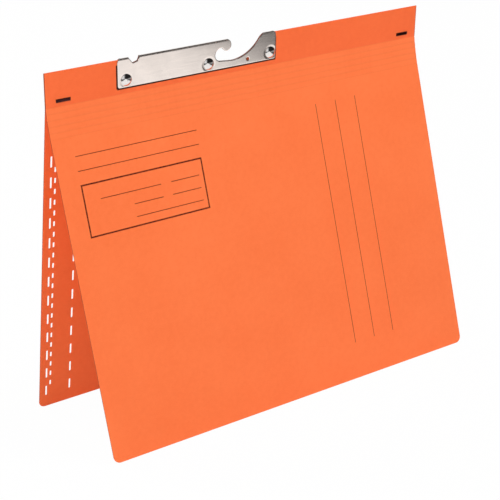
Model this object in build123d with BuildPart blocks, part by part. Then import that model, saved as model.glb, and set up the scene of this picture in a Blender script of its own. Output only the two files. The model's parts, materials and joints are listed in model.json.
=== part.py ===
from build123d import *
import math
import os

# An A4 hanging file folder standing open like a tent. Millimetres, +Z up, +X along
# the spine. The front cover is on the -Y side. The origin is the middle of the
# folder's footprint, on the surface that both covers stand on.

os.makedirs("parts", exist_ok=True)

# ---- boards ----
board_t = 0.4            # orange manila board
cover_w = 318.0          # length along the spine
band_h = 24.0            # double strip above the creases
front_drop = 244.5       # front cover, crease to lower edge
rear_drop = 245.4        # rear cover, crease to lower edge
cover_corner_r = 5.0     # rounded lower corners
score_pitch = 4.22       # distance from one score line to the next
strip_count = 5          # strips between the crease and the front panel
fold_slit = 0.3          # line of crushed board left free at every fold

# ---- how far it stands open, in degrees ----
band_lean = 5.96         # the band's top leans forwards
front_fold = 19.16       # whole bend of the front cover from the band
closed_fold = 5.0        # what is left of it when the cover is closed over the fastener
open_fold = 180.0        # the cover turned right over
crease_share = 0.6       # share of that bend at the crease, the scores share the rest

# ---- hook plate, steel sheet folded over the band's top edge ----
plate_t = 0.5
plate_left = -104.5
plate_right = 26.0
plate_low = 4.4          # lower edge above the crease
plate_low_r = 1.5        # its lower corners
plate_top_r = 3.0        # its upper corners
mouth_x = -21.3          # round mouth that hangs on the rail
mouth_up = 14.6
mouth_r = 4.7
nose_offset = 4.6        # round nose that closes the mouth from above, right of the mouth
nose_r = 4.2
lip_angle = 43.0         # slope of the flat under the nose
lip_reach = 4.0          # the flat's distance from the middle of the mouth
floor_offset = 9.1       # lowest point of the run-in ramp, right of the mouth
floor_up = 9.05
ramp_r = 29.0            # hollow part of the ramp
crest_r = 8.5            # round part of the ramp, up to the horn
notch_inset = 13.85      # index notch, from the plate's left end
notch_depth = 4.5
notch_floor_w = 3.9
notch_left_run = 3.5
notch_right_run = 1.5
notch_rise = 1.0         # its floor climbs this much to the right
notch_r = 1.1
peg_hole_offset = 23.0   # small round hole under the ramp, right of the mouth
peg_hole_up = 7.9
peg_hole_r = 1.2
board_setback = 1.1      # the board ends this far inside the plate's edge

# ---- rivets ----
rivet_left_inset = 6.5   # from the plate's left end
rivet_mouth_gap = 10.35  # middle rivet, left of the mouth
rivet_right_inset = 4.8  # from the plate's right end
rivet_up = 9.5
rivet_head_r = 4.1
rivet_head_h = 1.8
rivet_rim_h = 0.35
rivet_shank_r = 1.5
rivet_tail_r = 2.7
rivet_tail_h = 0.8
rivet_dimple_r = 1.2
rivet_clearance = 0.05

# ---- staples, flat wire ----
staple_inset = 13.3      # middle of the crown from the band's end
staple_up = 3.9
crown_l = 10.3
wire_w = 1.8
wire_t = 0.5
wire_clearance = 0.05
tip_gap = 1.6            # between the two clinched tips

# ---- tab slots, measured from the rear cover's left edge and lower edge ----
slot_w = 1.4
long_slot = 8.6
long_pitch = 15.9
long_count = 13
long_insets = (5.5, 24.9)
short_slot = 4.2
short_pitch = 8.475
short_count = 23
short_inset = 8.7
slot_low = 10.0          # lower end of the lowest long slots
short_low = 18.7         # lower end of the lowest short slot

# ---- two-prong paper fastener on the rear cover's inner face ----
fastener_drop = 38.0     # prong line below the crease
prong_spacing = 80.0     # filing pitch
prong_w = 5.5
prong_t = 0.3
prong_l = 28.0
prong_turn = 90.0        # from flat, cover closed, to upright, cover turned right over
patch_l = 126.0
patch_w = 24.0
patch_cover = 0.35       # patch thickness over the strip
patch_corner_r = 3.0
bar_l = 104.0
bar_t = 0.4
prong_side_gap = 0.4     # prong's edge from the bar's wall
bar_wall_h = 1.3
bar_flange = 0.8
bar_hole_l = 2.2
strip_clearance = 0.1    # round the strip's base and risers
prong_rest_gap = 0.1     # prong above the bar's floor
knuckle_gap = 0.3        # riser's end and prong's root from the bend line

# ---- worked out from the sizes above ----
spine = (1, 0, 0)
through = 40.0           # longer than any wall that a cut goes through
clear_of_top = 5.0       # outlines that open upwards run this far past the plate's top
band_t = 2 * board_t
score_share = (1 - crease_share) / strip_count
panel_drop = front_drop - strip_count * score_pitch
half_w = cover_w / 2
nose_x = mouth_x + nose_offset
floor_x = mouth_x + floor_offset
notch_x = plate_left + notch_inset
peg_hole_x = mouth_x + peg_hole_offset
rivet_x = (plate_left + rivet_left_inset, mouth_x - rivet_mouth_gap, plate_right - rivet_right_inset)
staple_x = half_w - staple_inset


def sin(angle):
    return math.sin(math.radians(angle))


def cos(angle):
    return math.cos(math.radians(angle))


# Slopes from the vertical of the strips and of the front panel, top to bottom.
bend_shares = [crease_share + score_share * i for i in range(strip_count)]
strip_slopes = [front_fold * share - band_lean for share in bend_shares]
panel_slope = front_fold - band_lean

# The crease stands where the front panel's lowest corner touches z = 0.
crease_z = (
    sum(score_pitch * cos(slope) for slope in strip_slopes)
    + panel_drop * cos(panel_slope)
    + board_t * sin(panel_slope)
)
strips_reach = sum(score_pitch * sin(slope) for slope in strip_slopes)
front_reach = strips_reach + panel_drop * sin(panel_slope)

# The rear cover folds about the band's rear face and leans until it touches z = 0 too.
rear_fold_z = crease_z + band_t * sin(band_lean)
rear_slope = math.degrees(
    math.acos(rear_fold_z / math.hypot(rear_drop, board_t)) + math.atan(board_t / rear_drop)
)
rear_reach = band_t * cos(band_lean) + rear_drop * sin(rear_slope)
crease_y = (front_reach - rear_reach) / 2


def board_plane(y, z, slope):
    """Plane on a board's front face: local X along the spine, local Y up the board."""
    return Plane(origin=(0, y, z), x_dir=spine, z_dir=(0, -cos(slope), sin(slope)))


band = board_plane(crease_y, crease_z, -band_lean)
strip_planes = []
fold_y = crease_y
fold_z = crease_z
for slope in strip_slopes:
    strip_planes.append(board_plane(fold_y, fold_z, slope))
    fold_y -= score_pitch * sin(slope)
    fold_z -= score_pitch * cos(slope)
front = board_plane(fold_y, fold_z, panel_slope)
rear_fold_y = crease_y + band_t * cos(band_lean)
rear = board_plane(rear_fold_y, rear_fold_z, -rear_slope).offset(board_t)


def save(part, name):
    part.label = name
    export_step(part, f"parts/{name}.step")


# ---- outlines that the plate and the band's boards share ----
fold_centre = band_h
plate_outer_r = board_t + plate_t
plate_top = fold_centre + plate_outer_r
nose_up = plate_top - nose_r
ramp_angle = math.degrees(math.acos(1 - (plate_top - floor_up) / (ramp_r + crest_r)))
above = plate_top + clear_of_top

# The flat under the nose is a chord of the nose's circle. This is the chord's lower end.
lip_gap = nose_offset * sin(lip_angle) + (nose_up - mouth_up) * cos(lip_angle) - lip_reach
lip_half = math.sqrt(nose_r**2 - lip_gap**2)
lip_x = nose_x - lip_gap * sin(lip_angle) + lip_half * cos(lip_angle)
lip_up = nose_up - lip_gap * cos(lip_angle) - lip_half * sin(lip_angle)

# Valley of the hook: ramp, floor and rail mouth, less the round nose.
with BuildSketch() as valley:
    with BuildLine():
        hollow = JernArc((floor_x, floor_up), (1, 0), ramp_r, ramp_angle)
        crest = JernArc(hollow @ 1, hollow % 1, crest_r, -ramp_angle)
        Polyline(
            crest @ 1,
            (crest @ 1) + Vector(0, clear_of_top),
            (nose_x, above),
            (nose_x, nose_up),
            (lip_x, lip_up),
            (mouth_x, mouth_up - mouth_r),
            (floor_x, floor_up),
        )
    make_face()
    with Locations((nose_x, nose_up)):
        Circle(nose_r, mode=Mode.SUBTRACT)

# Rail mouth: a circle cut flat under the nose.
with BuildSketch() as mouth:
    with Locations((mouth_x, mouth_up)):
        Circle(mouth_r)
    flat_x = mouth_x + lip_reach * sin(lip_angle)
    flat_up = mouth_up + lip_reach * cos(lip_angle)
    with Locations(Location((flat_x, flat_up), -lip_angle)):
        Rectangle(4 * mouth_r, 2 * mouth_r, align=(Align.CENTER, Align.MIN), mode=Mode.SUBTRACT)

notch_up = plate_top - notch_depth
notch_half = notch_floor_w / 2
with BuildSketch() as notch:
    with BuildLine():
        Polyline(
            (notch_x - notch_half - notch_left_run, plate_top),
            (notch_x - notch_half, notch_up),
            (notch_x + notch_half, notch_up + notch_rise),
            (notch_x + notch_half + notch_right_run, plate_top),
            (notch_x + notch_half + notch_right_run, above),
            (notch_x - notch_half - notch_left_run, above),
            close=True,
        )
    make_face()
    fillet(notch.vertices().sort_by(Axis.Y)[:2], notch_r)

with BuildSketch() as board_cut:
    add(valley.sketch)
    add(mouth.sketch)
    add(notch.sketch)
    offset(amount=board_setback, kind=Kind.ARC)

rivet_places = [(x, rivet_up) for x in rivet_x]
staple_places = [(-staple_x, staple_up), (staple_x, staple_up)]
leg_offset = (crown_l - wire_t) / 2
leg_hole_l = wire_t + 2 * wire_clearance
leg_hole_w = wire_w + 2 * wire_clearance


def band_board(plane):
    """One layer of the band, cut for the hook, the rivets and the staples' legs."""
    with BuildPart() as board:
        with BuildSketch(plane):
            with Locations((0, fold_slit / 2)):
                Rectangle(cover_w, band_h - fold_slit / 2, align=(Align.CENTER, Align.MIN))
            add(board_cut.sketch, mode=Mode.SUBTRACT)
            with Locations(*rivet_places):
                Circle(rivet_shank_r + rivet_clearance, mode=Mode.SUBTRACT)
            with Locations(*staple_places):
                with Locations((-leg_offset, 0), (leg_offset, 0)):
                    Rectangle(leg_hole_l, leg_hole_w, mode=Mode.SUBTRACT)
        extrude(amount=-board_t)
    return board.part


save(band_board(band), "band_front")
save(band_board(band.offset(-board_t)), "band_rear")

# ---- front cover: strips between the score lines, then the panel ----
for number, plane in enumerate(strip_planes, 1):
    with BuildPart() as score_strip:
        with BuildSketch(plane):
            with Locations((0, -score_pitch / 2)):
                Rectangle(cover_w, score_pitch - fold_slit)
        extrude(amount=-board_t)
    save(score_strip.part, f"score_strip_{number}")

with BuildPart() as front_panel:
    with BuildSketch(front) as front_outline:
        with Locations((0, -fold_slit / 2)):
            Rectangle(cover_w, panel_drop - fold_slit / 2, align=(Align.CENTER, Align.MAX))
        fillet(front_outline.vertices().group_by(Axis.Y)[0], cover_corner_r)
    extrude(amount=-board_t)
save(front_panel.part, "front_panel")

# ---- rear cover with its tab slots ----
with BuildPart() as rear_panel:
    with BuildSketch(rear) as rear_outline:
        with Locations((0, -fold_slit / 2)):
            Rectangle(cover_w, rear_drop - fold_slit / 2, align=(Align.CENTER, Align.MAX))
        fillet(rear_outline.vertices().group_by(Axis.Y)[0], cover_corner_r)
        long_low = slot_low + long_slot / 2 - rear_drop
        for inset in long_insets:
            with Locations(*[(inset - half_w, long_low + long_pitch * i) for i in range(long_count)]):
                SlotOverall(long_slot, slot_w, rotation=90, mode=Mode.SUBTRACT)
        lowest = short_low + short_slot / 2 - rear_drop
        with Locations(*[(short_inset - half_w, lowest + short_pitch * i) for i in range(short_count)]):
            SlotOverall(short_slot, slot_w, rotation=90, mode=Mode.SUBTRACT)
    extrude(amount=-board_t)
save(rear_panel.part, "rear_panel")

# ---- hook plate: a U of sheet over both boards, trimmed to its outline ----
section_plane = Plane(
    origin=band.from_local_coords((plate_left, 0, 0)), x_dir=-band.z_dir, z_dir=spine
)
with BuildPart() as hook_plate:
    with BuildSketch(section_plane):
        with Locations((board_t, plate_low)):
            Rectangle(2 * plate_outer_r, fold_centre - plate_low, align=(Align.CENTER, Align.MIN))
        with Locations((board_t, fold_centre)):
            Circle(plate_outer_r)
        with Locations((board_t, plate_low)):
            Rectangle(band_t, 2 * (fold_centre - plate_low), mode=Mode.SUBTRACT)
        with Locations((board_t, fold_centre)):
            Circle(board_t, mode=Mode.SUBTRACT)
    extrude(amount=plate_right - plate_left)
    with BuildSketch(band.offset(through / 2)) as plate_outline:
        with Locations(((plate_left + plate_right) / 2, (plate_low + plate_top) / 2)):
            Rectangle(plate_right - plate_left, plate_top - plate_low)
        fillet(plate_outline.vertices().group_by(Axis.Y)[0], plate_low_r)
        fillet(plate_outline.vertices().group_by(Axis.Y)[-1], plate_top_r)
        add(valley.sketch, mode=Mode.SUBTRACT)
        add(mouth.sketch, mode=Mode.SUBTRACT)
        add(notch.sketch, mode=Mode.SUBTRACT)
        with Locations(*rivet_places):
            Circle(rivet_shank_r + rivet_clearance, mode=Mode.SUBTRACT)
        with Locations((peg_hole_x, peg_hole_up)):
            Circle(peg_hole_r, mode=Mode.SUBTRACT)
    extrude(amount=-through, mode=Mode.INTERSECT)
save(hook_plate.part, "hook_plate")

# ---- rivets: domed head on the front leaf, clinched tail on the rear leaf ----
tail_seat = -band_t - plate_t
for name, x in zip(("left", "middle", "right"), rivet_x):
    foot = band.from_local_coords((x, rivet_up, 0))
    rivet_plane = Plane(origin=foot, x_dir=spine, z_dir=-band.y_dir)
    with BuildPart() as rivet:
        with BuildSketch(rivet_plane):
            with BuildLine():
                rim = plate_t + rivet_rim_h
                crown = plate_t + rivet_head_h
                Polyline(
                    (rivet_shank_r, tail_seat),
                    (rivet_shank_r, plate_t),
                    (rivet_head_r, plate_t),
                    (rivet_head_r, rim),
                )
                TangentArc((0, crown), (rivet_head_r, rim), tangent=(1, 0))
                Polyline(
                    (0, crown),
                    (0, tail_seat - rivet_tail_h / 2),
                    (rivet_dimple_r, tail_seat - rivet_tail_h),
                    (rivet_tail_r - rivet_tail_h / 2, tail_seat - rivet_tail_h),
                    (rivet_tail_r, tail_seat - rivet_tail_h / 2),
                    (rivet_tail_r, tail_seat),
                    (rivet_shank_r, tail_seat),
                )
            make_face()
        revolve(axis=Axis(foot, band.z_dir))
    save(rivet.part, f"rivet_{name}")

# ---- staples: a flat wire C round both boards, with a gap between its tips ----
for name, (x, up) in zip(("left", "right"), staple_places):
    middle = band.from_local_coords((x, up, -board_t))
    wire_plane = Plane(origin=middle, x_dir=spine, z_dir=-band.y_dir)
    with BuildPart() as staple:
        with BuildSketch(wire_plane) as wire:
            RectangleRounded(crown_l, band_t + 2 * wire_t, wire_t)
            Rectangle(crown_l - 2 * wire_t, band_t, mode=Mode.SUBTRACT)
            with Locations((0, -band_t / 2 - wire_t / 2)):
                Rectangle(tip_gap, 2 * wire_t, mode=Mode.SUBTRACT)
        extrude(amount=wire_w / 2, both=True)
    save(staple.part, f"staple_{name}")

# ---- paper fastener ----
patch_t = prong_t + strip_clearance + patch_cover
bar_floor = patch_t + bar_t
bend_height = bar_floor + prong_rest_gap + prong_t / 2
prong_half = prong_spacing / 2
riser_top = bend_height - knuckle_gap
riser_hole_l = prong_t + 2 * strip_clearance
riser_hole_w = prong_w + 2 * strip_clearance
prong_lift = prong_turn * (front_fold - closed_fold) / (open_fold - closed_fold)

with BuildPart() as tongue_strip:
    with BuildSketch(rear):
        with Locations((0, -fastener_drop)):
            Rectangle(prong_spacing + prong_t, prong_w)
    extrude(amount=prong_t)
    with BuildSketch(rear):
        with Locations((-prong_half, -fastener_drop), (prong_half, -fastener_drop)):
            Rectangle(prong_t, prong_w)
    extrude(amount=riser_top)
save(tongue_strip.part, "tongue_strip")

with BuildPart() as backing_patch:
    with BuildSketch(rear):
        with Locations((0, -fastener_drop)):
            RectangleRounded(patch_l, patch_w, patch_corner_r)
    extrude(amount=patch_t)
    with BuildSketch(rear):
        with Locations((0, -fastener_drop)):
            Rectangle(prong_spacing + riser_hole_l, riser_hole_w)
    extrude(amount=prong_t + strip_clearance, mode=Mode.SUBTRACT)
    with BuildSketch(rear):
        with Locations((-prong_half, -fastener_drop), (prong_half, -fastener_drop)):
            Rectangle(riser_hole_l, riser_hole_w)
    extrude(amount=patch_t, mode=Mode.SUBTRACT)
save(backing_patch.part, "backing_patch")

# The bar is a channel with its floor on the patch and a flange along each side.
bar_inner_w = prong_w + 2 * prong_side_gap
bar_outer_w = bar_inner_w + 2 * bar_t
bar_full_w = bar_outer_w + 2 * bar_flange
bar_start = rear.from_local_coords((-bar_l / 2, -fastener_drop, patch_t))
bar_end = Plane(origin=bar_start, x_dir=rear.y_dir, z_dir=spine)
with BuildPart() as cover_bar:
    with BuildSketch(bar_end):
        Rectangle(bar_outer_w, bar_wall_h, align=(Align.CENTER, Align.MIN))
        with Locations((0, bar_wall_h)):
            Rectangle(bar_full_w, bar_t, align=(Align.CENTER, Align.MAX))
        with Locations((0, bar_t)):
            Rectangle(bar_inner_w, bar_wall_h, align=(Align.CENTER, Align.MIN), mode=Mode.SUBTRACT)
    extrude(amount=bar_l)
    with BuildSketch(rear.offset(through / 2)):
        with Locations((0, -fastener_drop)):
            SlotOverall(bar_l, bar_full_w)
        with Locations((-prong_half, -fastener_drop), (prong_half, -fastener_drop)):
            Rectangle(bar_hole_l, bar_inner_w, mode=Mode.SUBTRACT)
    extrude(amount=-through, mode=Mode.INTERSECT)
save(cover_bar.part, "cover_bar")

# Each prong is a flat tongue from its bend line to a round tip.
tip_middle = prong_l - prong_w / 2
for name, side in (("left", -1), ("right", 1)):
    bend = rear.from_local_coords((side * prong_half, -fastener_drop, bend_height))
    inward = -side * rear.x_dir * cos(prong_lift) + rear.z_dir * sin(prong_lift)
    prong_plane = Plane(origin=bend, x_dir=inward, z_dir=side * rear.y_dir)
    with BuildPart() as prong:
        with BuildSketch(prong_plane):
            with Locations((knuckle_gap, 0)):
                Rectangle(tip_middle - knuckle_gap, prong_t, align=(Align.MIN, Align.CENTER))
        extrude(amount=prong_w / 2, both=True)
        tip_plane = Plane(origin=bend, x_dir=inward, z_dir=prong_plane.y_dir)
        with BuildSketch(tip_plane.offset(-prong_t / 2)):
            with Locations((tip_middle, 0)):
                Circle(prong_w / 2)
        extrude(amount=prong_t)
    save(prong.part, f"prong_{name}")
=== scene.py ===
import json
import math

import bmesh
import bpy
import numpy as np
from mathutils import Matrix, Vector


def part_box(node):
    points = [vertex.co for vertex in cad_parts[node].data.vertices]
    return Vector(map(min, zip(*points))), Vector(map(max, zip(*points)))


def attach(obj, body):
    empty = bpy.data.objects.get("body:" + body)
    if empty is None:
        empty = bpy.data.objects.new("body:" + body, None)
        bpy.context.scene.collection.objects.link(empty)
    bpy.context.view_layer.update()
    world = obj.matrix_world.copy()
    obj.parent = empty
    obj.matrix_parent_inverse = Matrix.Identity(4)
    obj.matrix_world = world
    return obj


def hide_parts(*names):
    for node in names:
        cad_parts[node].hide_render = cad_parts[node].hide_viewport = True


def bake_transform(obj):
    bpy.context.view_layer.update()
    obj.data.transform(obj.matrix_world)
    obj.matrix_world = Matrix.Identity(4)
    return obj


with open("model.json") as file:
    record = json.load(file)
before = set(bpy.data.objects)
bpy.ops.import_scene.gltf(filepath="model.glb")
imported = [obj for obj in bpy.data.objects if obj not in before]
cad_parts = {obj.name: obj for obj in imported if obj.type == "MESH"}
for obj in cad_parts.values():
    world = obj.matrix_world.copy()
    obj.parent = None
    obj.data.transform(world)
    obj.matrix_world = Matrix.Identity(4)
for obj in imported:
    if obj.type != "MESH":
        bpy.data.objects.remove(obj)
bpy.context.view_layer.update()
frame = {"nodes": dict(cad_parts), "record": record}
nodes = frame["nodes"]
mm = 0.001

# ---------------------------------------------------------------------------
# Manila board. All the covers are cut from one orange board, 0.4 mm thick, calendered
# on its outside and slightly fibrous. Its tone wanders a little and its fibres run along
# the spine. Its cut ends are painted darker than its faces, as painted shade.
# ---------------------------------------------------------------------------
board_orange = (0.97, 0.193, 0.056)
pulp_dark = (0.965, 0.91, 0.86)     # shares of the board's colour where its pulp is dark
pulp_pale = (1.02, 1.07, 1.12)      # and where it is pale
# painted shade on the board's cut ends
end_shade_brown = (0.16, 0.020, 0.006, 1)
line_ink = (0.085, 0.006, 0.001, 1)
board_t = 0.4 * mm
cover_w = 318.0 * mm


def put(tree, kind, inputs=None, **settings):
    """Add a node. An input given as a socket is linked, any other is set on the node."""
    made = tree.nodes.new(kind)
    for name, value in settings.items():
        setattr(made, name, value)
    for name, value in (inputs or {}).items():
        if isinstance(value, bpy.types.NodeSocket):
            tree.links.new(value, made.inputs[name])
        else:
            made.inputs[name].default_value = value
    return made


def maths(tree, operation, first, second=0.0, **settings):
    """Result of a Math node."""
    made = put(tree, "ShaderNodeMath", {0: first, 1: second}, operation=operation, **settings)
    return made.outputs[0]


def vector_maths(tree, operation, first, second=(0, 0, 0), result="Vector"):
    """Result of a Vector Math node."""
    made = put(tree, "ShaderNodeVectorMath", {0: first, 1: second}, operation=operation)
    return made.outputs[result]


def ramp(tree, value, start, stop, low=0.0, high=1.0, kind="LINEAR"):
    """The value carried from start and stop to low and high, and held beyond them."""
    limits = {"From Min": start, "From Max": stop, "To Min": low, "To Max": high}
    made = put(tree, "ShaderNodeMapRange", {"Value": value, **limits}, interpolation_type=kind)
    return made.outputs[0]


def mix(tree, share, first, second, kind="RGBA"):
    """first where share is 0, second where it is 1."""
    inputs = {"Factor": share, "A": first, "B": second}
    return put(tree, "ShaderNodeMix", inputs, data_type=kind).outputs["Result"]


def noise(tree, place, cells, detail, roughness=0.5, distortion=0.0):
    """Noise from 0 to 1, with this many cells in a metre of place."""
    inputs = {"Vector": place, "Scale": cells, "Detail": detail}
    inputs |= {"Roughness": roughness, "Distortion": distortion}
    return put(tree, "ShaderNodeTexNoise", inputs).outputs["Fac"]


def bump(tree, height, strength, distance, normal=None):
    """Normal of a relief whose height of 1 stands this distance above 0."""
    made = put(tree, "ShaderNodeBump", {"Height": height, "Strength": strength, "Distance": distance})
    if normal:
        tree.links.new(normal, made.inputs["Normal"])
    return made.outputs["Normal"]


def node_group(name, inputs, outputs):
    """A shader node group with named sockets: its tree, its input node and its output node."""
    tree = bpy.data.node_groups.new(name, "ShaderNodeTree")
    for label, kind, value in inputs:
        socket = tree.interface.new_socket(name=label, in_out="INPUT", socket_type=kind)
        if value is not None:
            socket.default_value = value
    for label, kind in outputs:
        tree.interface.new_socket(name=label, in_out="OUTPUT", socket_type=kind)
    return tree, tree.nodes.new("NodeGroupInput"), tree.nodes.new("NodeGroupOutput")


def empty_tree(owner):
    """Emptied node tree of a material or a world."""
    owner.use_nodes = True
    owner.node_tree.nodes.clear()
    return owner.node_tree


def new_material(name):
    """An empty node material: its tree and its Principled shader."""
    material = bpy.data.materials.new(name)
    tree = empty_tree(material)
    shader = tree.nodes.new("ShaderNodeBsdfPrincipled")
    put(tree, "ShaderNodeOutputMaterial", {"Surface": shader.outputs["BSDF"]})
    return material, tree, shader


def feed(tree, shader, colour, roughness, normal):
    """Link what changes over the surface to the shader."""
    for socket, source in (("Base Color", colour), ("Roughness", roughness), ("Normal", normal)):
        tree.links.new(source, shader.inputs[socket])


def finish_node(name, material):
    """Give every material slot of a CAD node this material."""
    for slot in nodes[name].material_slots:
        slot.material = material


# Fibres: noise drawn out along the spine, over clouds of the pulp and a few specks.
fibre_cells, pulp_cells, cloud_cells, speck_cells = 2600, 260, 24, 1500
fibre_draw = (0.22, 1, 1)
fibres, fibres_in, fibres_out = node_group(
    "board_fibres",
    [("Vector", "NodeSocketVector", None), ("Speck Share", "NodeSocketFloat", 0.3)],
    [("Tone", "NodeSocketFloat"), ("Height", "NodeSocketFloat")],
)
place = fibres_in.outputs["Vector"]
drawn = vector_maths(fibres, "MULTIPLY", place, fibre_draw)
fine = noise(fibres, drawn, fibre_cells, detail=4, roughness=0.62)
pulp = noise(fibres, place, pulp_cells, detail=3, roughness=0.55)
cloud = noise(fibres, place, cloud_cells, detail=2)
specks = ramp(fibres, noise(fibres, place, speck_cells, detail=1), 0.70, 0.78)
speck_part = maths(fibres, "MULTIPLY", specks, fibres_in.outputs["Speck Share"])
tone_sum = maths(fibres, "ADD", maths(fibres, "ADD", fine, pulp), cloud)
tone_mean = maths(fibres, "DIVIDE", tone_sum, 3.0)
fibres.links.new(maths(fibres, "SUBTRACT", tone_mean, speck_part), fibres_out.inputs["Tone"])
fibres.links.new(fine, fibres_out.inputs["Height"])

# A ruled bar: full inside a flat box in the board's plane, gone over the ink's soft edge.
rule, rule_in, rule_out = node_group(
    "ruled_line",
    [
        ("Vector", "NodeSocketVector", None),
        ("Middle", "NodeSocketVector", None),
        ("Half Size", "NodeSocketVector", None),
        ("Soft Edge", "NodeSocketFloat", None),
        ("Strength", "NodeSocketFloat", 1.0),
    ],
    [("Mask", "NodeSocketFloat")],
)
away = vector_maths(rule, "SUBTRACT", rule_in.outputs["Vector"], rule_in.outputs["Middle"])
apart = vector_maths(rule, "ABSOLUTE", away)
inside = vector_maths(rule, "SUBTRACT", rule_in.outputs["Half Size"], apart)
sides = put(rule, "ShaderNodeSeparateXYZ", {0: inside}).outputs
nearest = maths(rule, "MINIMUM", maths(rule, "MINIMUM", sides["X"], sides["Y"]), sides["Z"])
share = maths(rule, "DIVIDE", nearest, rule_in.outputs["Soft Edge"])
full = maths(rule, "ADD", share, 0.5, use_clamp=True)
mask = maths(rule, "MULTIPLY", full, rule_in.outputs["Strength"])
rule.links.new(mask, rule_out.inputs["Mask"])


def ruled_bars(tree, flat, bars, half_depth, soft_edge):
    """The strongest mask of bars given as left, right, low and high, in mm, and strength."""
    total = 0.0
    for left, right, low, high, strength in bars:
        inputs = {
            "Vector": flat,
            "Middle": ((left + right) / 2 * mm, (low + high) / 2 * mm, 0),
            "Half Size": ((right - left) / 2 * mm, (high - low) / 2 * mm, half_depth),
            "Soft Edge": soft_edge,
            "Strength": strength,
        }
        bar = put(tree, "ShaderNodeGroup", inputs, node_tree=rule)
        total = maths(tree, "MAXIMUM", total, bar.outputs["Mask"])
    return total


def on_sheet(tree, where, lean, foot):
    """Coordinates turned about the spine: along a sheet, up it from its foot, and inwards.

    The sheet's top leans forwards by the angle lean, and foot is a point of its outer face.
    """
    shift = (
        0,
        math.sin(lean) * foot.y - math.cos(lean) * foot.z,
        math.cos(lean) * foot.y + math.sin(lean) * foot.z,
    )
    inputs = {"Vector": where, "Rotation": (-lean - math.pi / 2, 0, 0), "Location": shift}
    return put(tree, "ShaderNodeMapping", inputs).outputs[0]


tone_range = (0.35, 0.65)       # of the fibres' tone, over which the colour changes
gloss_range = (0.3, 0.7)        # and over which the roughness does
board_rough = (0.52, 0.68)
end_shade_cover = 0.9


def orange_board(name, along="Object", lines=None, ink=line_ink, shade=(1, 1, 1), end_shade_width=0.08):
    """Board material on Object or UV coordinates.

    lines(tree, where) may return a mask of ink. Within the given width of its ends the board is
    painted darker, as painted shade.
    """
    dark, pale = (np.array(board_orange) * shade * pulp for pulp in (pulp_dark, pulp_pale))
    material, tree, shader = new_material(name)
    where = put(tree, "ShaderNodeTexCoord").outputs[along]
    look = put(tree, "ShaderNodeGroup", {"Vector": where}, node_tree=fibres)
    tone = look.outputs["Tone"]
    colour = mix(tree, ramp(tree, tone, *tone_range), (*dark, 1), (*pale, 1))
    from_middle = maths(tree, "ABSOLUTE", put(tree, "ShaderNodeSeparateXYZ", {0: where}).outputs["X"])
    # Painted shade: the board darkens towards its cut ends.
    end_shade_from, end_shade_to = (cover_w / 2 - share * end_shade_width * mm for share in (1.0, 0.4))
    at_end = ramp(tree, from_middle, end_shade_from, end_shade_to, high=end_shade_cover)
    colour = mix(tree, at_end, colour, end_shade_brown)
    if lines:
        colour = mix(tree, lines(tree, where), colour, ink)
    roughness = ramp(tree, tone, *gloss_range, *board_rough)
    grain = bump(tree, look.outputs["Height"], strength=0.25, distance=0.06 * mm)
    feed(tree, shader, colour, roughness, grain)
    shader.inputs["Specular IOR Level"].default_value = 0.25
    return material


# Painted shadow: the front board is darkened round the steel plate's edges, in its hole and round the
# staples.
# Places are mm from the spine's middle and up from the crease.
band_lean = math.radians(5.96)
plate_left, plate_right, plate_low, plate_high = -104.5, 26.0, 4.4, 20.5
low_shadow, left_shadow, right_shadow = 1.2, 1.1, 0.6     # beyond the plate's foot and its ends
foot_shadow = 0.5                                     # of the end shadows, beyond its foot
under = 0.4                                         # in under its edges
hole_x, hole_up, hole_shadow = 1.7, 7.9, 1.6
staple_x, staple_up, staple_shadow_x, staple_shadow_up = 145.7, 3.9, 5.5, 1.25
shadow_edge = 0.35 * mm
painted_shadow_brown = (0.03, 0.005, 0.002, 1)
joint_at = {j["name"]: Vector(j["pos_m"]) for j in frame["record"]["behaviour"]["joints"]}


def shadow_round(x, up, half_x, half_up, strength):
    """A bar with its middle at x and up."""
    return (x - half_x, x + half_x, up - half_up, up + half_up, strength)


def plate_painted_shadow(tree, where):
    """Painted shadow: soft dark bars along the plate's ends and lower edge, in its hole and at the
    staples.
    """
    flat = on_sheet(tree, where, band_lean, joint_at["front_crease"])
    foot = plate_low - foot_shadow
    bars = [
        (plate_left - under, plate_right + under / 2, plate_low - low_shadow, plate_low + under, 1.0),
        (plate_left - left_shadow, plate_left + under, foot, plate_high, 1.0),
        (plate_right - under, plate_right + right_shadow, foot, plate_high, 0.8),
        shadow_round(hole_x, hole_up, hole_shadow, hole_shadow, 0.6),
        shadow_round(-staple_x, staple_up, staple_shadow_x, staple_shadow_up, 1.0),
        shadow_round(staple_x, staple_up, staple_shadow_x, staple_shadow_up, 1.0),
    ]
    return ruled_bars(tree, flat, bars, 1.0, shadow_edge)


# Painted shade: the band's two boards are painted a little darker than the covers, and darker at their
# ends.
band_painted_shade = {"shade": (0.99, 0.82, 0.75), "end_shade_width": 0.4}
finish_node("rear_panel", orange_board("orange_board"))
finish_node("band_rear", orange_board("orange_board_painted_shade", **band_painted_shade))
# painted shadow round the plate, its hole and the staples on the band's front
painted_shadow_board = orange_board("orange_board_painted_shadow", lines=plate_painted_shadow, ink=painted_shadow_brown, **band_painted_shade)
finish_node("band_front", painted_shadow_board)

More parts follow.
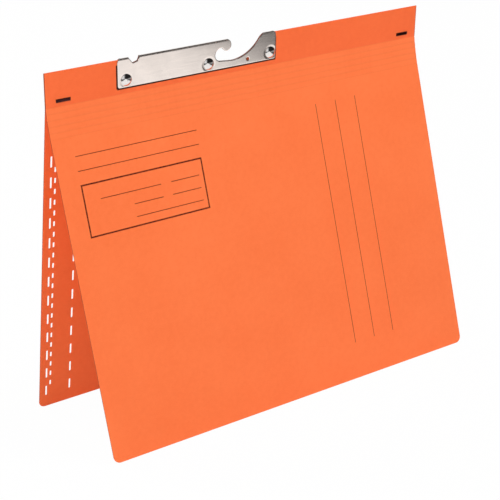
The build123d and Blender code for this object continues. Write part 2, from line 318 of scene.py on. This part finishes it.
# ---------------------------------------------------------------------------
# Front cover's ruling. One colour print on the large flat part: two writing lines, a
# framed box with three rows of lines, and three long lines across the cover. Places are
# millimetres from the spine's middle and up from the cover's lower edge.
# ---------------------------------------------------------------------------
panel_slope = math.radians(13.2)
writing_lines = [(-143.4, -48.1, 209.9), (-143.4, -48.1, 199.9)]
row_lines = [
    (-130.8, -83.9, 178.8),
    (-75.0, -52.6, 178.8),
    (-106.3, -83.7, 169.9),
    (-75.4, -52.6, 169.9),
    (-106.3, -52.6, 161.0),
]
frame_left, frame_right, frame_low, frame_high = -143.4, -48.6, 154.8, 190.1
long_lines = [56.8, 75.2, 93.7]
long_low, long_high = 27.2, 209.4
thin_line = 0.5
long_line = 0.4
frame_line = 1.05
ink_edge = 0.06 * mm
ink_cells = 900
thinnest_ink = 0.82


def cover_print(tree, where):
    """The strongest of all the ruled lines' masks, on coordinates in the cover's plane.

    Zero depth is the outer face. The ink goes half way through the board, so none shows inside.
    """
    foot = Vector((0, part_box("front_panel")[0].y, board_t * math.sin(panel_slope)))
    flat = on_sheet(tree, where, -panel_slope, foot)
    lines = [(left, right, up, up, thin_line) for left, right, up in writing_lines + row_lines]
    lines += [(x, x, long_low, long_high, long_line) for x in long_lines]
    lines += [(frame_left, frame_right, up, up, frame_line) for up in (frame_low, frame_high)]
    lines += [(x, x, frame_low, frame_high, frame_line) for x in (frame_left, frame_right)]
    bars = [(a - w / 2, b + w / 2, low - w / 2, high + w / 2, 1.0) for a, b, low, high, w in lines]
    printed = ruled_bars(tree, flat, bars, board_t / 2, ink_edge)
    # The ink sinks into the board unevenly.
    cover = ramp(tree, noise(tree, where, ink_cells, detail=2), 0.3, 0.6, low=thinnest_ink)
    return maths(tree, "MULTIPLY", printed, cover)


finish_node("front_panel", orange_board("orange_board_printed", lines=cover_print))

# ---------------------------------------------------------------------------
# Score lines. Six grooves are pressed into the front cover, and one into the rear cover,
# so that the board bends there. Each piece is the board from half way down one strip to
# half way down the next, and it turns at its groove from one strip's slope to the next's.
score_depth = 0.1 * mm
score_half = 1.0 * mm
score_reach = 3 * score_half
score_rows = 25
spine_columns = 13
emboss = 0.8             # share of the groove's depth that stands out on the board's inside
lap = 1.3 * mm           # how far the first and last pieces lie over the flat boards
proud = 0.006 * mm       # and how far they stand proud of them
bend_half = 0.45 * mm
# painted shade along the bottom of each groove
groove_shade_half = 0.3 * mm
groove_shade_edge = 1.2 * mm
groove_shade_tone = 0.07
spine = Vector((1, 0, 0))


def groove_shade(tree, where):
    """Painted shade: the board is darker at the bottom of its groove, which lies at V = 0."""
    size = {"Half Size": (1, groove_shade_half, 1), "Soft Edge": groove_shade_edge}
    inputs = {"Vector": where, **size, "Strength": groove_shade_tone}
    return put(tree, "ShaderNodeGroup", inputs, node_tree=rule).outputs["Mask"]


score_board = orange_board("orange_board_scored", along="UV", lines=groove_shade)


def link_object(name, data):
    """An object with this data, in the scene."""
    made = bpy.data.objects.new(name, data)
    bpy.context.collection.objects.link(made)
    return made


def smooth_piece(name, points, faces, material, sharp):
    """A piece from its points and faces, smooth but for edges over this many degrees."""
    mesh = bpy.data.meshes.new(name)
    mesh.from_pydata(points.reshape(-1, 3).tolist(), [], faces)
    mesh.validate()
    mesh.shade_smooth()
    mesh.set_sharp_from_angle(angle=math.radians(sharp))
    mesh.materials.append(material)
    return link_object(name, mesh)


def inwards(along, side):
    """Square to the spine and to along, with its Y towards side."""
    square = spine.cross(along)
    return square if square.y * side > 0 else -square


def scored_board(name, fold, up, down, runs, over, bulge, side):
    """Board across a score line, closed all round.

    The outside runs from fold + up * runs[0] to fold + down * runs[1], and sinks at the
    fold by depth * exp(-(s / half)^2), where s is the distance from the fold. The inside
    is the same line one board thickness inwards, bulged by bulge times that. The outside
    is over[0] further out above the fold and over[1] below it, and the inside as much
    further in. Both are carried along the spine, with a wall at each end. The folder's
    inside lies towards Y times side.
    """
    deep_up, deep_down = (np.array(inwards(along, side))[1:] for along in (up, down))
    fold, up, down = (np.array(vector)[1:] for vector in (fold, up, down))
    s = np.linspace(-score_reach, score_reach, score_rows)
    s = np.concatenate([[-runs[0]], s[(s > -runs[0]) & (s < runs[1])], [runs[1]]])[:, None]
    line = fold + np.where(s < 0, -s * up, s * down)
    # The board's inward direction turns from one side's to the other's across the groove.
    turn = np.clip(s / (2 * bend_half) + 0.5, 0, 1)
    deep = (1 - turn) * deep_up + turn * deep_down
    deep /= np.linalg.norm(deep, axis=1)[:, None]
    groove = score_depth * np.exp(-((s / score_half) ** 2))
    lift = np.where(s < 0, over[0], over[1])
    outside = line + deep * (groove - lift)
    inside = line + deep * (board_t + groove * bulge + lift)
    loop = np.concatenate([outside, inside[::-1]])
    x = np.linspace(-cover_w / 2, cover_w / 2, spine_columns)
    rows, columns = len(loop), len(x)
    grid = np.zeros((columns, rows, 3))
    grid[:, :, 0] = x[:, None]
    grid[:, :, 1:] = loop
    here = np.arange(columns * rows).reshape(columns, rows)
    after = np.roll(here, -1, 1)
    wall = np.stack([here[:-1], here[1:], after[1:], after[:-1]], -1).reshape(-1, 4)
    first, last = here[0], here[-1]
    k = np.arange(len(s) - 1)
    left_end = np.stack([first[k], first[k + 1], first[rows - 2 - k], first[rows - 1 - k]], -1)
    right_end = np.stack([last[k], last[rows - 1 - k], last[rows - 2 - k], last[k + 1]], -1)
    faces = np.concatenate([wall, left_end, right_end])
    # The front cover's board is the rear cover's mirrored, so its faces are wound the other way.
    if side > 0:
        faces = faces[:, ::-1]
    piece = smooth_piece(name, grid, faces.tolist(), score_board, sharp=40)
    # UV: metres along the spine, and metres down the board from the fold.
    mesh = piece.data
    corners = np.empty(len(mesh.loops), int)
    mesh.loops.foreach_get("vertex_index", corners)
    down_board = np.concatenate([s, s[::-1]])[:, 0]
    flat = np.stack([np.repeat(x, rows), np.tile(down_board, columns)], -1)
    layer = mesh.uv_layers.new(name="board")
    layer.data.foreach_set("uv", flat[corners].astype(np.float32).ravel())
    return piece


folds = [joint_at["front_crease"]] + [joint_at[f"score_fold_{i}"] for i in range(1, 6)]
last_fold = len(folds) - 1
band_up = Vector((0, -math.sin(band_lean), math.cos(band_lean)))
panel_down = Vector((0, -math.sin(panel_slope), -math.cos(panel_slope)))
for i, fold in enumerate(folds):
    up = band_up if i == 0 else (folds[i - 1] - fold).normalized()
    down = panel_down if i == last_fold else (folds[i + 1] - fold).normalized()
    up_run = lap if i == 0 else (folds[i - 1] - fold).length / 2
    down_run = lap if i == last_fold else (folds[i + 1] - fold).length / 2
    over = (proud if i == 0 else 0.0, proud if i == last_fold else 0.0)
    bulge = 0.0 if i == 0 else emboss
    piece = scored_board(f"score_line_{i}", fold, up, down, (up_run, down_run), over, bulge, side=1)
    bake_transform(piece)
    if i > 0:
        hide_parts(f"score_strip_{i}")

fold = joint_at["rear_crease"]
rear_slope = math.atan2(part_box("rear_panel")[1].y - fold.y, fold.z)
rear_down = Vector((0, math.sin(rear_slope), -math.cos(rear_slope)))
piece = scored_board(
    "rear_score_line", fold, band_up, rear_down, (lap, lap), (proud, proud), bulge=0.0, side=-1
)
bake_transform(piece)

# ---------------------------------------------------------------------------
# Hook plate. Nickel-plated sheet steel, stamped and folded over the band, then riveted.
# Its edges are rolled over by the stamping, its face has a fine satin grain along its
# length, and it is drawn down a little round each rivet.
# ---------------------------------------------------------------------------
rim_w = 0.6 * mm
rim_sink = 0.2 * mm
rolled_edge = 0.12 * mm
weld_gap = 0.002 * mm
leaf_gap = 0.1 * mm             # a face lower than this under a leaf's isn't part of it
nearly_flat = math.radians(0.5)
leaf_cosine = 0.999             # least cosine of a leaf's face with the way it faces
edge_cosine = 0.02              # largest one of a cut edge
fold_cosine = 0.98              # least one of the fold's top with up
rivet_names = ("rivet_left", "rivet_middle", "rivet_right")
band_out = Vector((0, -math.cos(band_lean), -math.sin(band_lean)))


def round_edges(piece, name, width):
    """Round a piece's sharp edges."""
    bevel = piece.modifiers.new(name, "BEVEL")
    bevel.width = width
    bevel.segments = 2
    bevel.limit_method = "ANGLE"
    bevel.angle_limit = math.radians(35)
    return bevel


shell = bmesh.new()
shell.from_mesh(nodes["hook_plate"].data)
bmesh.ops.remove_doubles(shell, verts=shell.verts, dist=weld_gap)
bmesh.ops.dissolve_limit(
    shell,
    angle_limit=nearly_flat,
    verts=shell.verts,
    edges=shell.edges,
    use_dissolve_boundaries=False,
)
for facing in (band_out, -band_out):
    flats = [face for face in shell.faces if face.normal.dot(facing) > leaf_cosine]
    outermost = max(face.calc_center_median().dot(facing) for face in flats)
    leaf = [face for face in flats if face.calc_center_median().dot(facing) > outermost - leaf_gap]
    rim = bmesh.ops.inset_region(shell, faces=leaf, thickness=rim_w, use_even_offset=True)["faces"]
    flat_points = {point for face in leaf for point in face.verts}
    for point in {point for face in rim for point in face.verts} - flat_points:
        point.co -= facing * rim_sink
for face in shell.faces:
    face.smooth = True
    cut = abs(face.normal.dot(band_out)) < edge_cosine and face.normal.dot(band_up) < fold_cosine
    face.material_index = 1 if cut else 0
plate_mesh = bpy.data.meshes.new("rolled_plate")
shell.to_mesh(plate_mesh)
shell.free()
plate = link_object("rolled_plate", plate_mesh)
round_edges(plate, "rolled_edge", rolled_edge)
plate.modifiers.new("flat_faces", "WEIGHTED_NORMAL").weight = 100

# Round a rivet the sheet rises from 0 to 1, by a smoothstep of the distance from its middle.
dimple, dimple_in, dimple_out = node_group(
    "rivet_dimple",
    [
        ("Vector", "NodeSocketVector", None),
        ("Middle", "NodeSocketVector", None),
        ("Inner", "NodeSocketFloat", 4 * mm),
        ("Outer", "NodeSocketFloat", 6 * mm),
    ],
    [("Height", "NodeSocketFloat")],
)
given = dimple_in.outputs
gap = vector_maths(dimple, "DISTANCE", given["Vector"], given["Middle"], result="Value")
rise = ramp(dimple, gap, given["Inner"], given["Outer"], kind="SMOOTHSTEP")
dimple.links.new(rise, dimple_out.inputs["Height"])

# Satin grain: fine scratches along a sheet's length, with a broad cloudy tarnish.
tarnish_cells = 60
satin, satin_in, satin_out = node_group(
    "satin_grain",
    [("Vector", "NodeSocketVector", None), ("Stretch", "NodeSocketVector", None)],
    [("Grain", "NodeSocketFloat"), ("Tarnish", "NodeSocketFloat")],
)
place = satin_in.outputs["Vector"]
pulled = vector_maths(satin, "MULTIPLY", place, satin_in.outputs["Stretch"])
scratch = noise(satin, pulled, 1.0, detail=3, roughness=0.7)
tarnish = noise(satin, place, tarnish_cells, detail=3, distortion=0.6)
satin.links.new(scratch, satin_out.inputs["Grain"])
satin.links.new(tarnish, satin_out.inputs["Tarnish"])


def satin_steel(name, pale, dark, rough, stretch, dimples=()):
    """Plated steel: colour between dark and pale by its tarnish, roughness by its grain.

    stretch is the grain's cells in a metre. The sheet is drawn down round the dimples' middles.
    """
    material, tree, shader = new_material(name)
    where = put(tree, "ShaderNodeTexCoord").outputs["Object"]
    look = put(tree, "ShaderNodeGroup", {"Vector": where, "Stretch": stretch}, node_tree=satin)
    grain = look.outputs["Grain"]
    colour = mix(tree, ramp(tree, look.outputs["Tarnish"], 0.3, 0.65), (*dark, 1), (*pale, 1))
    normal = bump(tree, grain, strength=0.06, distance=0.03 * mm)
    for middle in dimples:
        ring = put(tree, "ShaderNodeGroup", {"Vector": where, "Middle": middle}, node_tree=dimple)
        normal = bump(tree, ring.outputs["Height"], strength=1.0, distance=0.12 * mm, normal=normal)
    feed(tree, shader, colour, ramp(tree, grain, *gloss_range, *rough), normal)
    shader.inputs["Metallic"].default_value = 1.0
    return material


rivet_middles = [sum(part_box(name), Vector()) / 2 for name in rivet_names]
nickel = satin_steel(
    "nickel_plate",
    pale=(0.84, 0.765, 0.72),
    dark=(0.76, 0.69, 0.65),
    rough=(0.15, 0.23),
    stretch=(60, 1800, 1800),
    dimples=rivet_middles,
)
# The cut edges are bare steel; their dark colour also stands in for the shadow along the plate's
# edges, so it is partly painted shade.
cut_steel_painted_shade = satin_steel(
    "cut_edge_painted_shade",
    pale=(0.36, 0.30, 0.27),
    dark=(0.16, 0.12, 0.10),
    rough=(0.3, 0.5),
    stretch=(800, 800, 800),
)
plate_mesh.materials.append(nickel)
plate_mesh.materials.append(cut_steel_painted_shade)
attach(plate, "spine_band")
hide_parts("hook_plate")

# ---------------------------------------------------------------------------
# Rivets. Polished steel with a domed head on the front leaf, and a clinched tail behind.
# Fine scuffs cover the polish, and smears dull it in places.
# ---------------------------------------------------------------------------
rivet_dark, rivet_pale = (0.66, 0.64, 0.63, 1), (0.84, 0.82, 0.81, 1)
scuff_cells, smear_cells = 2500, 420
smear_range = (0.35, 0.7)
rivet_polish = (0.07, 0.17)

polished, tree, shader = new_material("polished_rivet")
where = put(tree, "ShaderNodeTexCoord").outputs["Object"]
scuffs = noise(tree, where, scuff_cells, detail=3, roughness=0.6)
smear = noise(tree, where, smear_cells, detail=2)
grey = mix(tree, scuffs, rivet_dark, rivet_pale)
relief = bump(tree, scuffs, strength=0.08, distance=0.02 * mm)
feed(tree, shader, grey, ramp(tree, smear, *smear_range, *rivet_polish), relief)
shader.inputs["Metallic"].default_value = 1.0
for name in rivet_names:
    finish_node(name, polished)

# ---------------------------------------------------------------------------
# Staples. Flat wire, pressed through both layers of the band near its ends and
# clinched behind. The wire's near-black colour is a painted dark reflection.
# ---------------------------------------------------------------------------
wire_w = 1.8 * mm
wire_t = 0.5 * mm
crown_l = 10.3 * mm
tip_gap = 1.6 * mm
tip_l = 1.2 * mm
tip_lift = 0.06 * mm
tip_squash = 0.75
bend_r = 0.5 * mm

wire_painted_dark = satin_steel(
    "wire_painted_dark",
    pale=(0.085, 0.03, 0.034),
    dark=(0.015, 0.004, 0.004),
    rough=(0.32, 0.5),
    stretch=(500, 2500, 2500),
)


def metal_strip(name, path, across, half_w, half_t, squareness, sides, material):
    """A superellipse |a / half_w|^n + |b / half_t|^n = 1 carried along a path.

    a lies along across, b is square to it and to the path, and n is the squareness.
    half_w and half_t have a value for each point of the path. Both ends are closed.
    """
    ahead = np.gradient(path, axis=0)
    ahead /= np.linalg.norm(ahead, axis=1)[:, None]
    across = np.array(across)
    thick = np.cross(across, ahead)
    angle = np.linspace(0, 2 * np.pi, sides, endpoint=False)
    a, b = (np.sign(v) * np.abs(v) ** (2 / squareness) for v in (np.cos(angle), np.sin(angle)))
    wide = (half_w[:, None] * a)[:, :, None]
    deep = (half_t[:, None] * b)[:, :, None]
    points = path[:, None] + across * wide + thick[:, None] * deep
    here = np.arange(len(path) * sides).reshape(len(path), sides)
    after = np.roll(here, -1, 1)
    wall = np.stack([here[:-1], here[1:], after[1:], after[:-1]], -1).reshape(-1, 4)
    ends = [here[0].tolist(), here[-1][::-1].tolist()]
    return smooth_piece(name, points, wall.tolist() + ends, material, sharp=50)


def staple(name, middle, up, out):
    """Flat wire carried round a C: along the crown, down each leg and inwards to the tips.

    The path is a rounded rectangle's outline in the plane of spine and out, open by the
    gap between the tips, which are squashed a little.
    """
    half_l = crown_l / 2 - wire_t / 2
    half_d = board_t + wire_t / 2
    radius = bend_r - wire_t / 4
    arc = np.linspace(0, np.pi / 2, 7)
    corner = np.stack([np.sin(arc), np.cos(arc)], -1) * radius + [half_l - radius, half_d - radius]
    tip = [[tip_gap / 2 + tip_l, -half_d], [tip_gap / 2, -half_d + tip_lift]]
    right = np.concatenate([[[0, half_d]], corner, corner[::-1] * [1, -1], tip])
    flat = np.concatenate([right[::-1] * [-1, 1], right[1:]])
    path = np.array(middle) + flat[:, :1] * np.array(spine) + flat[:, 1:] * np.array(out)
    half_w = np.full(len(path), wire_w / 2)
    half_t = np.full(len(path), wire_t / 2)
    half_t[[0, -1]] *= tip_squash
    return metal_strip(name, path, up, half_w, half_t, squareness=5, sides=20, material=wire_painted_dark)


for side in ("left", "right"):
    low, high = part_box(f"staple_{side}")
    made = staple(f"staple_wire_{side}", (low + high) / 2, band_up, band_out)
    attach(made, "spine_band")
    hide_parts(f"staple_{side}")

# ---------------------------------------------------------------------------
# Paper fastener on the rear cover's inside. A zinc-plated tongue with two prongs comes up
# through a glued board patch. The prongs are bent down over a pressed cover bar.
# ---------------------------------------------------------------------------
pressed_edge = 0.1 * mm
prong_w = 5.5 * mm
prong_t = 0.3 * mm
prong_l = 28.0 * mm
prong_rise = math.radians(7.282)
foot_l = 1.0 * mm
knee = 0.32 * mm
tip_w = 0.05 * mm
patch_dark, patch_pale = (0.80, 0.125, 0.03, 1), (0.89, 0.155, 0.042, 1)
patch_rough = (0.65, 0.8)

zinc = satin_steel(
    "zinc_plate",
    pale=(0.78, 0.785, 0.80),
    dark=(0.60, 0.61, 0.63),
    rough=(0.26, 0.42),
    stretch=(90, 1500, 1500),
)
for name in ("cover_bar", "tongue_strip"):
    finish_node(name, zinc)
bar = nodes["cover_bar"]
bar.modifiers.new("weld", "WELD").merge_threshold = weld_gap
round_edges(bar, "pressed_edge", pressed_edge).harden_normals = True

patch_paper, tree, shader = new_material("patch_paper")
where = put(tree, "ShaderNodeTexCoord").outputs["Object"]
look = put(tree, "ShaderNodeGroup", {"Vector": where, "Speck Share": 0.4}, node_tree=fibres)
tone = look.outputs["Tone"]
colour = mix(tree, ramp(tree, tone, *tone_range), patch_dark, patch_pale)
nap = bump(tree, look.outputs["Height"], strength=0.4, distance=0.08 * mm)
feed(tree, shader, colour, ramp(tree, tone, *gloss_range, *patch_rough), nap)
finish_node("backing_patch", patch_paper)


def prong(name, root, down, out, across):
    """Flat strip from inside the riser, round its bend, to a round tip.

    Its middle line starts down from the root, turns at the knee by the curve
    (1 - t)^2 first + 2 t (1 - t) root + t^2 last, and goes straight out. Its half width is
    constant and ends in the half circle w = sqrt(r^2 - (r - e)^2), where e is the distance
    left to the tip.
    """
    root, down, out = np.array(root), np.array(down), np.array(out)
    in_riser = root + down * foot_l * np.array([[1.0], [0.6]])
    first, last = root + down * knee, root + out * knee
    t = np.linspace(0, 1, 9)[:, None]
    curve = (1 - t) ** 2 * first + 2 * t * (1 - t) * root + t**2 * last
    r = prong_w / 2
    far = prong_l - knee
    along = np.array([0.1, 0.25, 0.45, 0.6, 0.75, 0.85, 0.9]) * (far - r)
    tip = r * (1 - np.sin(np.linspace(0, np.pi / 2, 10)))
    straight = last + out * np.concatenate([along, far - tip])[:, None]
    path = np.concatenate([in_riser, curve, straight])
    to_tip = np.concatenate([np.full(len(path) - len(tip), r), tip])
    half_w = np.sqrt(np.maximum(r**2 - (r - to_tip) ** 2, tip_w**2))
    half_t = np.full(len(path), prong_t / 2)
    return metal_strip(name, path, across, half_w, half_t, squareness=8, sides=16, material=zinc)


rear_up = -rear_down
rear_in = Vector((0, -math.cos(rear_slope), -math.sin(rear_slope)))
for side, sign in (("left", 1), ("right", -1)):
    root = joint_at[f"prong_{side}_bend"]
    lie = spine * sign * math.cos(prong_rise) + rear_in * math.sin(prong_rise)
    made = prong(f"prong_strip_{side}", root, -rear_in, lie, rear_up * sign)
    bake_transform(made)
    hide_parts(f"prong_{side}")

# ---------------------------------------------------------------------------
# Studio: a white floor that keeps a faint shadow, three soft boxes, and the camera. Dark
# patches of the floor and a dark corner of the room show only in reflections.
# ---------------------------------------------------------------------------
floor_reach = 6.0
floor_grey = (0.9, 0.9, 0.9, 1)
floor_white = 0.985             # share of plain white in the floor that the camera sees
paper_white = (1, 1, 1, 1)
card_colour = (1, 0.985, 0.97, 1)
card_white, card_dark = 1.12, 0.08
right_patch_x, right_patch_y = (0.32, 0.43), (0.7, 0.3)     # metres, from light to dark
far_x, far_dark = (0.9, 0.65), 0.74
left_patch_x, left_patch_y = (-0.36, -0.48), (-0.3, -0.4)
room_corner = (0.8, -0.6, 0)
corner_range = (0.3, 0.6)
room_white, room_dark = 0.9, 0.02
room_fill = 0.3                 # light from the room on matt surfaces

floor_mesh = bpy.data.meshes.new("floor")
corners = [(-1, -1), (1, -1), (1, 1), (-1, 1)]
floor_mesh.from_pydata([(x * floor_reach, y * floor_reach, 0) for x, y in corners], [], [(0, 1, 2, 3)])
floor = link_object("floor", floor_mesh)
floor_paint = bpy.data.materials.new("floor_paint")
tree = empty_tree(floor_paint)
matt = put(tree, "ShaderNodeBsdfDiffuse", {"Color": floor_grey})
white = put(tree, "ShaderNodeEmission", {"Color": paper_white, "Strength": 1.0})
rays = put(tree, "ShaderNodeLightPath").outputs
seen = maths(tree, "MULTIPLY", rays["Is Camera Ray"], floor_white)
lit = put(tree, "ShaderNodeMixShader", {"Fac": seen, 1: matt.outputs[0], 2: white.outputs[0]})
# In reflections the white floor has a dark patch to the front right. Further out the
# patch is lighter, so that the plate seen from an end is grey and not black.
where = put(tree, "ShaderNodeTexCoord").outputs["Object"]
ground = put(tree, "ShaderNodeSeparateXYZ", {0: where}).outputs
to_right = ramp(tree, ground["X"], *right_patch_x, kind="SMOOTHSTEP")
to_front = ramp(tree, ground["Y"], *right_patch_y, kind="SMOOTHSTEP")
not_far = ramp(tree, ground["X"], *far_x, low=far_dark, kind="SMOOTHSTEP")
right_patch = maths(tree, "MULTIPLY", maths(tree, "MULTIPLY", to_right, to_front), not_far)
# A second dark patch, at the front left, darkens the left flanks of the rivets.
to_left = ramp(tree, ground["X"], *left_patch_x, kind="SMOOTHSTEP")
near_front = ramp(tree, ground["Y"], *left_patch_y, kind="SMOOTHSTEP")
left_patch = maths(tree, "MULTIPLY", to_left, near_front)
patches = maths(tree, "MAXIMUM", right_patch, left_patch)
card_level = ramp(tree, patches, 0.0, 1.0, card_white, card_dark)
card = put(tree, "ShaderNodeEmission", {"Color": card_colour, "Strength": card_level})
by_ray = {"Fac": rays["Is Glossy Ray"], 1: lit.outputs[0], 2: card.outputs[0]}
floor_look = put(tree, "ShaderNodeMixShader", by_ray)
put(tree, "ShaderNodeOutputMaterial", {"Surface": floor_look.outputs[0]})
floor_mesh.materials.append(floor_paint)

# In reflections the room is white, and dark towards its front right corner.
world = bpy.data.worlds.new("studio")
bpy.context.scene.world = world
tree = empty_tree(world)
rays = put(tree, "ShaderNodeLightPath").outputs
direction = put(tree, "ShaderNodeTexCoord").outputs["Generated"]
towards = vector_maths(tree, "DOT_PRODUCT", direction, room_corner, result="Value")
room = ramp(tree, towards, *corner_range, room_white, room_dark, kind="SMOOTHSTEP")
level = mix(tree, rays["Is Glossy Ray"], room_fill, room, kind="FLOAT")
level = mix(tree, rays["Is Camera Ray"], level, 1.0, kind="FLOAT")
sky = put(tree, "ShaderNodeBackground", {"Color": paper_white, "Strength": level})
put(tree, "ShaderNodeOutputWorld", {"Surface": sky.outputs[0]})


def soft_box(name, at, aim_height, size, power):
    """Square soft box at a point, turned to face the folder at a height, unseen in reflections."""
    lamp = bpy.data.lights.new(name, "AREA")
    lamp.shape = "SQUARE"
    lamp.size = size
    lamp.energy = power
    box = link_object(name, lamp)
    box.location = at
    facing = Vector((0, 0, aim_height)) - Vector(at)
    box.rotation_euler = facing.to_track_quat("-Z", "Y").to_euler()
    box.visible_glossy = False


soft_box("key", (0.6, -0.7, 1.7), aim_height=0.13, size=0.6, power=17)
soft_box("side", (-4.0, -2.8, 0.8), aim_height=0.1, size=2.0, power=128)
soft_box("back", (-0.9, 2.2, 1.1), aim_height=0.13, size=1.2, power=34)

camera_at = (-0.5556, -0.81716, 0.45966)
forward = Vector((0.5277, 0.7777, -0.3419)).normalized()
roll = math.radians(2.69)
camera_data = bpy.data.cameras.new("camera")
camera_data.sensor_width = 36.0
camera_data.lens = 101.46
camera_data.shift_x = -0.0014
camera_data.shift_y = 0.0025
camera_data.clip_end = 20
camera = link_object("camera", camera_data)
level_right = forward.cross(Vector((0, 0, 1))).normalized()
level_up = level_right.cross(forward)
right = level_right * math.cos(roll) - level_up * math.sin(roll)
upward = level_right * math.sin(roll) + level_up * math.cos(roll)
turned = Matrix((right, upward, -forward)).transposed().to_4x4()
camera.matrix_world = Matrix.Translation(camera_at) @ turned
bpy.context.scene.camera = camera
bpy.context.scene.view_settings.view_transform = "Standard"
